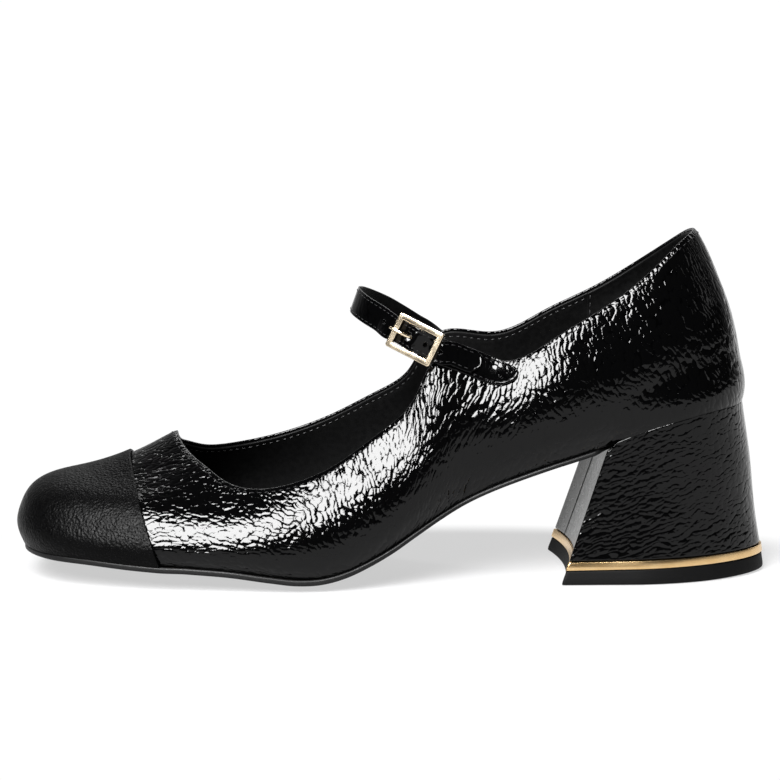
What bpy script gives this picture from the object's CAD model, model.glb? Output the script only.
import bpy
import math
import numpy as np
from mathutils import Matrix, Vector


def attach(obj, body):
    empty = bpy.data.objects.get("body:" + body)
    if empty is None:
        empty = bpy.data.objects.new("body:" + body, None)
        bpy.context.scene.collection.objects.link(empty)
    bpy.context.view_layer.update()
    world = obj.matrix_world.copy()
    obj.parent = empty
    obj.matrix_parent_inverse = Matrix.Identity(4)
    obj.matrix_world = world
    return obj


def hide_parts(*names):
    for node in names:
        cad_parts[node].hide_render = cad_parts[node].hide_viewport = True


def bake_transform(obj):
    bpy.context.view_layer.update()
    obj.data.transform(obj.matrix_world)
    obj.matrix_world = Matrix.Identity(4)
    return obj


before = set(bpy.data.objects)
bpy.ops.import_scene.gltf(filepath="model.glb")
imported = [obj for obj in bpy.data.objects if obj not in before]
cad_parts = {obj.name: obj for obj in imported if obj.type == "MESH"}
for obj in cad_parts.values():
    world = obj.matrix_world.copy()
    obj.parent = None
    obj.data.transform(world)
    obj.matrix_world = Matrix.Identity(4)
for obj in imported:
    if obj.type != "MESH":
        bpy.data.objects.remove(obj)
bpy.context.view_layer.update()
scene = bpy.context.scene
SHIFT = np.array((-1.1689071655273438, 1.3031330108642578, 0.0))  # mm, shape frame to row frame


def to_m(p):
    return (np.asarray(p, float) + SHIFT) * 1e-3


# ------------------------------------------------------------------ camera
TH, EL = math.radians(1.5), math.radians(8.2)
back = np.array([-math.sin(TH) * math.cos(EL), -math.cos(TH) * math.cos(EL), math.sin(EL)])
cam_data = bpy.data.cameras.new("camera")
cam_data.sensor_width = 36.0
cam_data.lens = 3000.0 / 780.0 * 36.0
cam_data.clip_start, cam_data.clip_end = 0.05, 60
cam = bpy.data.objects.new("camera", cam_data)
scene.collection.objects.link(cam)
cam.location = to_m(np.array([0, 0, 60.0]) + 1000.0 * back)
cam.rotation_mode = "QUATERNION"
cam.rotation_quaternion = Vector(-back).to_track_quat("-Z", "Y")
scene.camera = cam

# ------------------------------------------------------------------ last shape (mm)
LAT = [
    (-121.3, 3.0, -71.0, 2.0, 46.8), (-119.6, -12.5, -70.3, -4.5, 45.9), (-112.6, -23.6, -68.2, -10.0, 43.4),
    (-101.5, -30.6, -64.6, -16.0, 40.6), (-86.0, -35.6, -60.0, -21.6, 37.9), (-66.0, -39.0, -52.4, -28.0, 33.7),
    (-44.0, -41.0, -39.6, -32.4, 33.1), (-22.0, -40.6, -21.0, -32.6, 39.3), (-4.0, -37.6, -4.5, -30.8, 50.6),
    (8.0, -34.6, 6.4, -29.6, 60.8), (17.0, -31.8, 12.4, -28.2, 72.2), (24.0, -29.8, 21.0, -26.9, 76.4),
    (36.0, -29.9, 35.6, -28.0, 73.6), (52.0, -30.0, 52.0, -27.9, 80.6), (70.0, -27.4, 68.5, -24.2, 90.2),
    (87.0, -24.0, 83.0, -19.8, 100.5), (101.0, -19.8, 93.6, -14.7, 109.9), (110.6, -13.2, 99.2, -9.0, 113.7),
]
BACK = (114.8, 0.0, 101.0, 0.0, 114.3)
MED = [
    (-119.6, 17.0, -70.3, 8.0, 43.6), (-111.4, 26.6, -68.0, 13.5, 41.6), (-99.5, 32.4, -64.0, 18.5, 39.7),
    (-84.0, 35.8, -59.0, 23.2, 38.6), (-64.0, 38.0, -51.0, 28.3, 38.8), (-43.0, 38.2, -38.6, 30.9, 41.0),
    (-22.0, 33.8, -20.6, 30.6, 47.2), (-4.0, 27.4, -4.0, 28.4, 55.8), (8.0, 24.6, 6.4, 27.0, 62.9),
    (17.0, 23.6, 12.0, 26.4, 72.0), (24.0, 23.4, 20.0, 26.2, 77.4), (36.0, 23.8, 35.6, 26.2, 76.6),
    (52.0, 25.2, 52.4, 26.0, 83.6), (70.0, 26.6, 69.0, 25.2, 91.8), (87.0, 26.0, 84.0, 22.4, 101.0),
    (101.0, 21.6, 94.4, 16.2, 108.6), (110.6, 13.0, 99.4, 8.8, 112.8),
]
W_TOE = [1, 1, 1, 0.82, 0.5, 0.18] + [0] * 12
W_HEEL = [0] * 12 + [0.1, 0.24, 0.42, 0.64, 0.86, 1]
FZ = [
    (-130, 11.6), (-121, 11.4), (-112, 10.9), (-100, 10.5), (-84, 9.3), (-68, 8.3), (-52, 7.2), (-40, 5.6), (-31, 4.6),
    (-23, 4.9), (-15, 6.9), (-7, 10.4), (0, 14.2), (8, 19.4), (16, 24.4), (24, 28.8), (34, 33.4), (43, 36.9), (52, 40.0),
    (61, 42.7), (70, 45.5), (79, 49.0), (90, 52.6), (101, 55.4), (110, 56.6), (116, 57.0), (125, 57.2),
]
ARCH = 3.0
P_TOE = dict(a=[0, 0, 0.05, 0.205, 0.435, 0.70], o=[1.9, 0.8, 0, 0, 0, 0], b=[0.156, 0.305, 0.458, 0.575, 0.655, 0.785])
P_SIDE = dict(a=[0.1, 0.25, 0.4, 0.55, 0.7, 0.85], o=[3.1, 4.8, 5.1, 4.5, 3.2, 1.5], b=[0.15, 0.295, 0.45, 0.60, 0.745, 0.88])
P_HEEL = dict(a=[0.143, 0.286, 0.43, 0.57, 0.714, 0.857], o=[3.9, 5.7, 6.2, 5.7, 4.3, 2.4], b=[0.122, 0.253, 0.399, 0.554, 0.706, 0.865])


def table(tab, x):
    xs, zs = np.array([p[0] for p in tab], float), np.array([p[1] for p in tab], float)
    d = np.gradient(zs, xs)
    x = np.clip(np.asarray(x, float), xs[0], xs[-1])
    k = np.clip(np.searchsorted(xs, x, side="right") - 1, 0, len(xs) - 2)
    h = xs[k + 1] - xs[k]
    t = (x - xs[k]) / h
    return (2 * t**3 - 3 * t**2 + 1) * zs[k] + (t**3 - 2 * t**2 + t) * h * d[k] + (-2 * t**3 + 3 * t**2) * zs[k + 1] + (t**3 - t**2) * h * d[k + 1]


def smooth(a, b, x):
    t = np.clip((np.asarray(x, float) - a) / (b - a), 0, 1)
    return t * t * (3 - 2 * t)


def arch(x):
    return ARCH * np.exp(-(((np.asarray(x, float) - 30) / 24.0) ** 2))


def control():
    rows = np.array([list(r) for r in LAT] + [list(BACK)] + [list(r) for r in MED[::-1]], float)
    n = len(rows)
    wt = np.array(W_TOE + [0] + [W_TOE[i] for i in range(17, 0, -1)], float)
    wh = np.array(W_HEEL + [1] + [W_HEEL[i] for i in range(17, 0, -1)], float)
    med = np.array([0] * 18 + [0.5] + [1] * 17)
    f, t = np.zeros((n, 3)), rows[:, 2:5].copy()
    f[:, :2] = rows[:, :2]
    f[:, 2] = table(FZ, f[:, 0]) + med * arch(f[:, 0])
    d = np.roll(f, -1, 0)[:, :2] - np.roll(f, 1, 0)[:, :2]
    d /= np.linalg.norm(d, axis=1)[:, None]
    nn = np.stack([d[:, 1], -d[:, 0]], 1)
    if np.sum(nn[:, 0] * f[:, 0]) < 0:
        nn = -nn
    ws = 1 - wt - wh
    g = np.zeros((8, n, 3))
    g[0], g[7] = f, t
    for j in range(6):
        a, o, b = (wt * P_TOE[k][j] + ws * P_SIDE[k][j] + wh * P_HEEL[k][j] for k in "aob")
        g[j + 1, :, :2] = f[:, :2] + (t[:, :2] - f[:, :2]) * a[:, None] + nn * o[:, None]
        g[j + 1, :, 2] = f[:, 2] + (t[:, 2] - f[:, 2]) * b
    return g


G = control()
_m = (G[1] + G[3] + G[6]) / 3
_d = np.linalg.norm(np.roll(_m, -1, 0) - _m, axis=1) ** 0.75
U = np.concatenate([[0], np.cumsum(_d)])
U = U[:-1] / U[-1]
_h = np.append(np.diff(U), 1 - U[-1])


def _closed_moments(v):
    n = len(U)
    a, r = np.zeros((n, n)), np.zeros((n, 3))
    for i in range(n):
        p, q = (i - 1) % n, (i + 1) % n
        a[i, p] += _h[p]
        a[i, i] += 2 * (_h[p] + _h[i])
        a[i, q] += _h[i]
        r[i] = 6 * ((v[q] - v[i]) / _h[i] - (v[i] - v[p]) / _h[p])
    return np.linalg.solve(a, r)


MO = [_closed_moments(g) for g in G]
_a8, _r8 = np.zeros((8, 8)), np.zeros((8, 8))
_a8[0, 0] = _a8[7, 7] = 1
for _i in range(1, 7):
    _a8[_i, _i - 1 : _i + 2] = (1, 4, 1)
    _r8[_i, _i - 1 : _i + 2] = (6, -12, 6)
W8 = np.linalg.solve(_a8, _r8)


def level(j, t):
    t = np.mod(t, 1.0)
    k = np.clip(np.searchsorted(U, t, side="right") - 1, 0, len(U) - 1)
    q = (k + 1) % len(U)
    h = _h[k][:, None]
    x = (t - U[k])[:, None]
    s = h - x
    m, v = MO[j], G[j]
    return (m[k] * s**3 + m[q] * x**3) / (6 * h) + (v[k] / h - m[k] * h / 6) * s + (v[q] / h - m[q] * h / 6) * x


def last(t, s):
    """Points of the outer surface at girth parameter t (0..1, from the toe) and height parameter s (0 feather .. 1 topline)."""
    t, s = np.broadcast_arrays(np.asarray(t, float), np.asarray(s, float))
    shape = t.shape
    t, s = t.ravel(), s.ravel()
    x = np.clip(s, 0, 1) * 7
    k = np.minimum(x.astype(int), 6)
    f = x - k
    r = 1 - f
    w = W8[k] * ((r**3 - r) / 6)[:, None] + W8[k + 1] * ((f**3 - f) / 6)[:, None]
    idx = np.arange(len(t))
    w[idx, k] += r
    w[idx, k + 1] += f
    out = np.zeros((len(t), 3))
    for j in range(8):
        out += w[:, j : j + 1] * level(j, t)
    return out.reshape(shape + (3,))


def unit(v):
    return v / np.maximum(np.linalg.norm(v, axis=-1, keepdims=True), 1e-12)


def normal(t, s, e=8e-4):
    t, s = np.broadcast_arrays(np.asarray(t, float), np.asarray(s, float))
    s1, s0 = np.minimum(s + e, 1), np.maximum(s - e, 0)
    return -unit(np.cross(last(t + e, s) - last(t - e, s), last(t, s1) - last(t, s0)))


if normal(np.array([0.165]), np.array([0.4]))[0, 1] > 0:
    _n0 = normal

    def normal(t, s, e=8e-4):
        return -_n0(t, s, e)


def rising(t, s, e=1e-3):
    """Length of surface per unit of s, and its direction."""
    s1, s0 = np.minimum(s + e, 1), np.maximum(s - e, 0)
    d = (last(t, s1) - last(t, s0)) / (s1 - s0)[..., None]
    return np.linalg.norm(d, axis=-1), unit(d)


# ------------------------------------------------------------------ smooth noise, seeded
_rng = np.random.default_rng(7)
_PERM = _rng.permutation(256)
_GRAD = unit(_rng.normal(size=(256, 3)))


def noise3(x, y, z):
    xi, yi, zi = (np.floor(a).astype(int) for a in (x, y, z))
    xf, yf, zf = x - xi, y - yi, z - zi
    u, v, w = (a**3 * (a * (a * 6 - 15) + 10) for a in (xf, yf, zf))
    res = 0
    for dx in (0, 1):
        for dy in (0, 1):
            for dz in (0, 1):
                h = _PERM[(_PERM[(_PERM[(xi + dx) & 255] + yi + dy) & 255] + zi + dz) & 255]
                g = _GRAD[h]
                dot = g[..., 0] * (xf - dx) + g[..., 1] * (yf - dy) + g[..., 2] * (zf - dz)
                res = res + dot * (u if dx else 1 - u) * (v if dy else 1 - v) * (w if dz else 1 - w)
    return res * 1.6


# ------------------------------------------------------------------ mesh helpers
def new_object(name, me, mats, body="root", smooth_shade=True):
    ob = bpy.data.objects.new(name, me)
    scene.collection.objects.link(ob)
    for m in mats if isinstance(mats, (list, tuple)) else [mats]:
        me.materials.append(m)
    if smooth_shade:
        me.polygons.foreach_set("use_smooth", np.ones(len(me.polygons), bool))
    if body:
        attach(ob, body)
    return ob


def mesh_from(name, verts_mm, faces, attrs=None):
    me = bpy.data.meshes.new(name)
    v = to_m(verts_mm)
    if isinstance(faces, np.ndarray):
        k = faces.shape[1]
        me.vertices.add(len(v))
        me.vertices.foreach_set("co", v.astype(np.float32).ravel())
        me.loops.add(faces.size)
        me.loops.foreach_set("vertex_index", faces.ravel().astype(np.int32))
        me.polygons.add(len(faces))
        me.polygons.foreach_set("loop_start", (np.arange(len(faces)) * k).astype(np.int32))
        me.polygons.foreach_set("loop_total", np.full(len(faces), k, np.int32))
        me.update(calc_edges=True)
    else:
        me.from_pydata([tuple(p) for p in v], [], faces)
    for key, val in (attrs or {}).items():
        val = np.asarray(val, np.float32)
        if val.ndim == 1:
            me.attributes.new(key, "FLOAT", "POINT").data.foreach_set("value", val)
        else:
            me.attributes.new(key, "FLOAT_VECTOR", "POINT").data.foreach_set("vector", val.ravel())
    me.validate(clean_customdata=False)
    return me


def grid_faces(nu, nv, cu=False, cv=False, flip=False, base=0):
    i = np.arange(nu * nv).reshape(nu, nv) + base
    if cu:
        i = np.vstack([i, i[:1]])
    if cv:
        i = np.hstack([i, i[:, :1]])
    q = np.stack([i[:-1, :-1], i[1:, :-1], i[1:, 1:], i[:-1, 1:]], -1).reshape(-1, 4)
    return q[:, ::-1] if flip else q


def ladder(ids):
    """Faces that close a loop of vertices by pairing its two halves."""
    out, a, b = [], 0, len(ids) - 1
    while b - a > 2:
        out.append((ids[a], ids[a + 1], ids[b - 1], ids[b]))
        a, b = a + 1, b - 1
    if b - a == 2:
        out.append((ids[a], ids[a + 1], ids[b]))
    return out


def fix_normals(me, merge=2e-7):
    import bmesh

    bm = bmesh.new()
    bm.from_mesh(me)
    if merge:
        bmesh.ops.remove_doubles(bm, verts=bm.verts, dist=merge)
        bmesh.ops.dissolve_degenerate(bm, dist=1e-8, edges=bm.edges)
    bmesh.ops.recalc_face_normals(bm, faces=bm.faces)
    bm.to_mesh(me)
    bm.free()
    me.update()


def profile_solid(name, p, mats, attrs=None, closed=False, caps=True, body="root", merge=0, sharp=False):
    """A closed solid from P[column, profile point]: the profile is a closed loop, the columns open with ladder caps, or closed."""
    nu, nv = p.shape[:2]
    faces = grid_faces(nu, nv, cu=closed, cv=True)
    if not closed and caps:
        faces = [tuple(f) for f in faces.tolist()]
        faces += ladder(list(range(nv)))
        faces += ladder([(nu - 1) * nv + j for j in range(nv)])
    me = mesh_from(name, p.reshape(-1, 3), faces, attrs)
    fix_normals(me, merge)
    return new_object(name, me, mats, body)


# ------------------------------------------------------------------ materials
class Graph:
    def __init__(self, name):
        self.m = bpy.data.materials.new(name)
        self.m.use_nodes = True
        self.t = self.m.node_tree
        self.b = next(n for n in self.t.nodes if n.type == "BSDF_PRINCIPLED")

    def node(self, kind, **kw):
        n = self.t.nodes.new(kind)
        for k, v in kw.items():
            setattr(n, k, v)
        return n

    def link(self, a, b):
        self.t.links.new(a, b)

    def put(self, sock, v):
        if isinstance(v, bpy.types.NodeSocket):
            self.link(v, sock)
        else:
            sock.default_value = v

    def set(self, **kw):
        for k, v in kw.items():
            self.put(self.b.inputs[k.replace("_", " ")], v)

    def math(self, op, a, b=0.0, c=0.0, clamp=False):
        n = self.node("ShaderNodeMath", operation=op, use_clamp=clamp)
        for i, v in enumerate((a, b, c)):
            self.put(n.inputs[i], v)
        return n.outputs[0]

    def vmath(self, op, a, b=(0, 0, 0)):
        n = self.node("ShaderNodeVectorMath", operation=op)
        self.put(n.inputs[0], a)
        self.put(n.inputs[1], b)
        return n.outputs[0]

    def noise(self, vec, scale=1.0, detail=2.0, rough=0.5, dist=0.0, color=False):
        n = self.node("ShaderNodeTexNoise")
        self.put(n.inputs["Vector"], vec)
        n.inputs["Scale"].default_value = scale
        n.inputs["Detail"].default_value = detail
        n.inputs["Roughness"].default_value = rough
        n.inputs["Distortion"].default_value = dist
        return n.outputs["Color" if color else 0]

    def voronoi(self, vec, scale=1.0, feature="F1", rand=1.0):
        n = self.node("ShaderNodeTexVoronoi", feature=feature)
        self.put(n.inputs["Vector"], vec)
        n.inputs["Scale"].default_value = scale
        n.inputs["Randomness"].default_value = rand
        return n.outputs["Distance"]

    def ramp(self, v, a, b, lo=0.0, hi=1.0, kind="SMOOTHSTEP"):
        n = self.node("ShaderNodeMapRange", interpolation_type=kind)
        for k, x in (("Value", v), ("From Min", a), ("From Max", b), ("To Min", lo), ("To Max", hi)):
            self.put(n.inputs[k], x)
        return n.outputs[0]

    def mix(self, f, a, b):
        n = self.node("ShaderNodeMix", data_type="FLOAT")
        self.put(n.inputs[0], f)
        self.put(n.inputs[2], a)
        self.put(n.inputs[3], b)
        return n.outputs[0]

    def mixc(self, f, a, b):
        n = self.node("ShaderNodeMix", data_type="RGBA")
        self.put(n.inputs[0], f)
        self.put(n.inputs[6], a if isinstance(a, bpy.types.NodeSocket) else (*a, 1))
        self.put(n.inputs[7], b if isinstance(b, bpy.types.NodeSocket) else (*b, 1))
        return n.outputs[2]

    def bump(self, h, dist, strength=1.0, under=None):
        n = self.node("ShaderNodeBump")
        n.inputs["Strength"].default_value = strength
        n.inputs["Distance"].default_value = dist
        self.put(n.inputs["Height"], h)
        if under is not None:
            self.link(under, n.inputs["Normal"])
        return n.outputs[0]

    def obj(self, mm=1.0):
        """Object coordinates in units of mm millimetres."""
        c = self.node("ShaderNodeTexCoord").outputs["Object"]
        return self.scaled(c, 1000.0 / mm)

    def scaled(self, v, k):
        n = self.node("ShaderNodeVectorMath", operation="SCALE")
        self.put(n.inputs[0], v)
        n.inputs["Scale"].default_value = k
        return n.outputs[0]

    def attr(self, name, out="Vector"):
        n = self.node("ShaderNodeAttribute", attribute_name=name)
        return n.outputs[out]


def patent(name, depth=1.0, base=(0.0005, 0.0005, 0.00055)):
    """Crinkled patent leather: rows of small pillows between fine creases, running three ways, under a glossy film."""
    g = Graph(name)
    flow = g.attr("flow")
    ways = g.node("ShaderNodeSeparateXYZ")
    g.link(g.attr("grain"), ways.inputs[0])
    w = g.vmath("SUBTRACT", g.noise(flow, 0.14, 2.0, color=True), (0.5, 0.5, 0.5))
    p = g.vmath("ADD", flow, g.scaled(w, 4.5))
    h = None
    for i, (deg, along, apart) in enumerate(((-18, 2.5, 1.55), (112, 3.3, 1.55), (72, 3.3, 1.55))):
        r = g.node("ShaderNodeVectorRotate", rotation_type="Z_AXIS")
        g.put(r.inputs["Vector"], p)
        r.inputs["Angle"].default_value = -math.radians(deg)
        v = g.node("ShaderNodeTexVoronoi", voronoi_dimensions="2D", feature="F1")
        g.put(v.inputs["Vector"], g.vmath("MULTIPLY", r.outputs[0], (1 / along, 1 / apart, 1.0)))
        v.inputs["Scale"].default_value = 1.0
        v.inputs["Randomness"].default_value = 0.85
        d = g.math("MULTIPLY", g.math("POWER", v.outputs["Distance"], 2.0), ways.outputs[i])
        h = d if h is None else g.math("ADD", h, d)
    fine = g.noise(g.scaled(p, 1.3), 1.0, 1.0)
    amp = g.ramp(g.noise(flow, 0.09, 2.0), 0.25, 0.75, 0.75, 1.2)
    total = g.math("ADD", g.math("MULTIPLY", g.math("MULTIPLY", h, amp), -1.0), g.math("MULTIPLY", fine, 0.16))
    rough = g.ramp(g.noise(g.scaled(flow, 0.35), 1.0, 3.0), 0.3, 0.7, 0.04, 0.085)
    col = g.mixc(g.ramp(h, 0.25, 0.6), base, (0.0002, 0.0002, 0.00025))
    g.set(Base_Color=col, Roughness=rough, IOR=1.31, Normal=g.bump(total, 0.00024 * depth))
    return g.m


def leather(name, col, rough=(0.36, 0.50), cell=0.55, depth=0.00003, ior=1.45, vary=0.35):
    """Fine natural grain: small cells with softened walls, faint pores."""
    g = Graph(name)
    o = g.obj(1.0)
    w = g.vmath("ADD", o, g.scaled(g.noise(o, 0.7, 2.0, color=True), 0.5))
    v = g.voronoi(w, 1.0 / cell, "SMOOTH_F1")
    pores = g.ramp(g.noise(o, 3.1, 2.0), 0.62, 0.75)
    big = g.noise(o, 0.09, 3.0)
    h = g.math("SUBTRACT", g.math("MULTIPLY", v, 1.1), g.math("MULTIPLY", pores, 0.35))
    h = g.math("ADD", h, g.math("MULTIPLY", g.noise(o, 0.45, 2.0), 0.9))
    dark = tuple(c * (1 - vary) for c in col)
    g.set(Base_Color=g.mixc(g.ramp(big, 0.3, 0.7), dark, col), Roughness=g.ramp(g.noise(o, 0.6, 3.0), 0.3, 0.7, *rough), IOR=ior,
          Normal=g.bump(h, depth))
    return g.m


def metal(name, col, dark, rough=0.2, stretch=(0.05, 0.05, 3.0), depth=0.000004):
    g = Graph(name)
    o = g.obj(1.0)
    s = g.noise(g.vmath("MULTIPLY", o, stretch), 1.0, 3.0)
    blot = g.noise(o, 0.16, 2.0)
    f = g.ramp(g.math("ADD", g.math("MULTIPLY", s, 0.6), g.math("MULTIPLY", blot, 0.4)), 0.3, 0.7)
    g.set(Base_Color=g.mixc(f, dark, col), Metallic=1.0, Roughness=g.ramp(s, 0.3, 0.7, rough * 0.8, rough * 1.25),
          Normal=g.bump(g.noise(g.vmath("MULTIPLY", o, tuple(4 * k for k in stretch)), 1.0, 3.0), depth))
    return g.m


def plain(name, col, rough, scale=0.8, depth=0.00002, vary=0.4, fleck=None):
    """Board, cork, foam, rubber, plastic: mottled colour and a speckled bump."""
    g = Graph(name)
    o = g.obj(1.0)
    n = g.noise(o, scale, 4.0)
    c = g.mixc(g.ramp(n, 0.3, 0.7), tuple(k * (1 - vary) for k in col), col)
    if fleck:
        c = g.mixc(g.ramp(g.voronoi(o, scale * 0.7), 0.1, 0.35), fleck, c)
    g.set(Base_Color=c, Roughness=g.ramp(g.noise(o, scale * 1.7, 2.0), 0.3, 0.7, max(rough - 0.08, 0.05), min(rough + 0.06, 1.0)),
          Normal=g.bump(g.math("ADD", n, g.noise(o, scale * 4, 2.0)), depth))
    return g.m


def thread(name, col):
    g = Graph(name)
    f = g.attr("flow")
    tw = g.node("ShaderNodeTexWave", wave_type="BANDS", bands_direction="DIAGONAL")
    g.put(tw.inputs["Vector"], f)
    tw.inputs["Scale"].default_value = 0.9
    tw.inputs["Distortion"].default_value = 0.6
    g.set(Base_Color=g.mixc(tw.outputs["Fac"], tuple(k * 0.45 for k in col), col), Roughness=0.55, Normal=g.bump(tw.outputs["Fac"], 0.00003))
    return g.m


M = {}
M["patent"] = patent("patent_leather")
M["patent_fine"] = patent("patent_leather_strap", 0.35)
M["patent_heel"] = patent("patent_leather_heel", 0.72)
M["cap"] = leather("cap_leather", (0.0003, 0.0003, 0.00035), (0.36, 0.46), 0.75, 0.00020, 1.145)
M["lining"] = leather("lining_leather", (0.0006, 0.0006, 0.00065), (0.5, 0.62), 0.4, 0.00001, 1.22)
M["sock"] = leather("sock_leather", (0.0016, 0.0016, 0.0017), (0.42, 0.55), 0.6, 0.00003, 1.3)
M["breast"] = leather("breast_leather", (0.08, 0.08, 0.078), (0.26, 0.34), 0.5, 0.00003, 1.85)
M["sole"] = plain("sole_leatherboard", (0.0018, 0.0018, 0.0019), 0.5, 1.3, 0.000012)
M["rubber"] = plain("top_piece_rubber", (0.0015, 0.0015, 0.0016), 0.6, 2.2, 0.000018)
M["gold"] = metal("band_gold", (0.80, 0.57, 0.30), (0.70, 0.46, 0.21), 0.24, (0.03, 0.03, 1.2))
M["buckle"] = metal("buckle_gold", (0.97, 0.82, 0.60), (0.95, 0.79, 0.57), 0.16, (0.2, 0.2, 0.2), 0.0000001)
M["thread"] = thread("thread_black", (0.006, 0.006, 0.0065))
M["thread_in"] = thread("thread_inner", (0.010, 0.010, 0.0105))
M["steel"] = metal("fastener_steel", (0.56, 0.57, 0.58), (0.36, 0.37, 0.38), 0.35, (0.4, 0.4, 3.0))
M["puff"] = plain("toe_puff_felt", (0.62, 0.57, 0.44), 0.9, 0.9, 0.00005)
M["counter"] = plain("counter_board", (0.27, 0.22, 0.19), 0.9, 0.9, 0.00005)
M["board"] = plain("insole_board", (0.45, 0.31, 0.17), 0.9, 1.1, 0.00004)
M["cork"] = plain("cork_filler", (0.33, 0.20, 0.09), 0.95, 0.6, 0.00010, 0.5, (0.10, 0.05, 0.02))
M["foam"] = plain("foam", (0.80, 0.71, 0.42), 0.95, 1.8, 0.00008, 0.15)
M["core"] = plain("heel_core_plastic", (0.004, 0.004, 0.0045), 0.5, 0.5, 0.00001)
for key, ior in (("sole", 1.3), ("rubber", 1.19), ("core", 1.3), ("thread", 1.3)):
    next(n for n in M[key].node_tree.nodes if n.type == "BSDF_PRINCIPLED").inputs["IOR"].default_value = ior

# ------------------------------------------------------------------ columns round the upper, evenly spaced
_tt = np.linspace(0, 1, 4001)
_mid = last(_tt, np.full(4001, 0.45))
_len = np.concatenate([[0], np.cumsum(np.linalg.norm(np.diff(_mid, axis=0), axis=1))])
GIRTH = _len[-1]


def t_even(n, a=0.0, b=1.0):
    """n girth parameters at even arc length from parameter a to b."""
    la, lb = t_len(a), t_len(b)
    return np.array([t_at(x) for x in np.linspace(la, lb, n)])


def t_len(t):
    k = math.floor(t)
    return k * GIRTH + float(np.interp(t - k, _tt, _len))


def t_at(x):
    k = math.floor(x / GIRTH)
    return k + float(np.interp(x - k * GIRTH, _len, _tt))


CAP_X0, CAP_Z0, CAP_SLOPE = -74.9, 7.7, -0.358


def plane(p, d=0.0):
    """Distance behind (+) the toe cap's edge plane, shifted back by d."""
    return (p[..., 0] - (CAP_X0 + d + CAP_SLOPE * (p[..., 2] - CAP_Z0))) / math.hypot(1, CAP_SLOPE)


def s_cut(t, d):
    """Height parameter at which each column crosses the cap plane: 0 where it lies wholly behind."""
    s = np.linspace(0, 1, 401)
    q = plane(last(t[:, None], s[None]), d)
    out = np.zeros(len(t))
    for i in range(len(t)):
        if q[i, 0] < 0:
            k = np.argmax(q[i] > 0) if (q[i] > 0).any() else 400
            out[i] = s[k - 1] + (s[k] - s[k - 1]) * (-q[i, k - 1]) / (q[i, k] - q[i, k - 1])
    return out


def flow_of(t, p, v):
    """Crinkle coordinates in mm: round the shoe (mirrored at toe and heel), up the wall, and across."""
    u = np.array([t_len(x) for x in t])
    u = np.abs(u - np.round(u / GIRTH) * GIRTH)
    return np.stack([np.broadcast_to(u[:, None], v.shape), v, p[..., 1] * 1.0], -1)


# ------------------------------------------------------------------ outlines of the heel block and of the feather edge
HEEL_BACK = [(0, 125.5), (7, 124.5), (18, 122.6), (38, 120.4), (57, 117.5)]
NB, NS = 400, 900


def d_outline(z, d):
    """Closed outline of the heel block at one height, from the lateral breast corner round the back; corners softened."""
    x1 = float(table(HEEL_BACK, z)) - d
    hw = 30.2 - z * 0.046 - 0.9 * math.sin(math.pi * min(max(z, 0) / 57, 1)) - d
    yc = -2.0 + z * 0.03
    p = 1.78 + z * 0.004
    x0 = 54.9 + z * 0.342 + d
    xs = x0 + (x1 - x0) * 0.34
    t = np.linspace(0, 1, NS + 1)
    side = np.where(t < 0.5, -1.0, 1.0)
    u = np.where(t < 0.5, t * 2, (1 - t) * 2)
    th = np.clip((u - 0.26) / 0.74, 0, 1) * math.pi / 2
    x = np.where(u < 0.26, x0 + (xs - x0) * u / 0.26, xs + (x1 - xs) * np.sin(th) ** (2 / p))
    y = np.where(u < 0.26, hw, hw * np.cos(th) ** (2 / p))
    a = np.column_stack([x, yc + side * y])
    v = 1 - 2 * np.arange(1, NB) / NB
    b = np.column_stack([x0 + 3.4 * (1 - v * v), yc + v * hw])
    c = np.vstack([a, b])
    cl = np.vstack([c, c[:1]])
    arc = np.concatenate([[0], np.cumsum(np.linalg.norm(np.diff(cl, axis=0), axis=1))])
    total, corner = arc[-1], arc[NS]
    n = 1400
    q = np.linspace(0, total, n, endpoint=False)
    r = np.stack([np.interp(q, arc, cl[:, k]) for k in range(2)], 1)
    w = 8
    ker = np.exp(-0.5 * (np.arange(-w, w + 1) / 3.0) ** 2)
    ker /= ker.sum()
    sm = sum(np.roll(r, -k, 0) * ker[k + w] for k in range(-w, w + 1))

    def at(s):
        s = np.mod(s, total)
        return np.stack([np.interp(s, np.append(q, total), np.append(sm[:, k], sm[0, k])) for k in range(2)], -1)
    return at, corner, total



def d_top(z):
    at, c, tot = d_outline(z, 0.0)
    return at(np.linspace(0, tot, 900, endpoint=False))


_k = np.arange(1440) / 1440.0
_f = level(0, _k)[:, :2]
_a, _b = np.roll(_f, 1, 0), np.roll(_f, -1, 0)
_dl = np.linalg.norm(_b - _a, axis=1)
_fn = np.stack([(_b - _a)[:, 1] / _dl, -(_b - _a)[:, 0] / _dl], 1)
if np.sum(_fn[:, 0] * _f[:, 0]) < 0:
    _fn = -_fn



def _fn_at(t):
    return unit(np.stack([np.interp(np.mod(t, 1), np.append(_k, 1), np.append(_fn[:, c], _fn[0, c])) for c in range(2)], -1))


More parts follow.
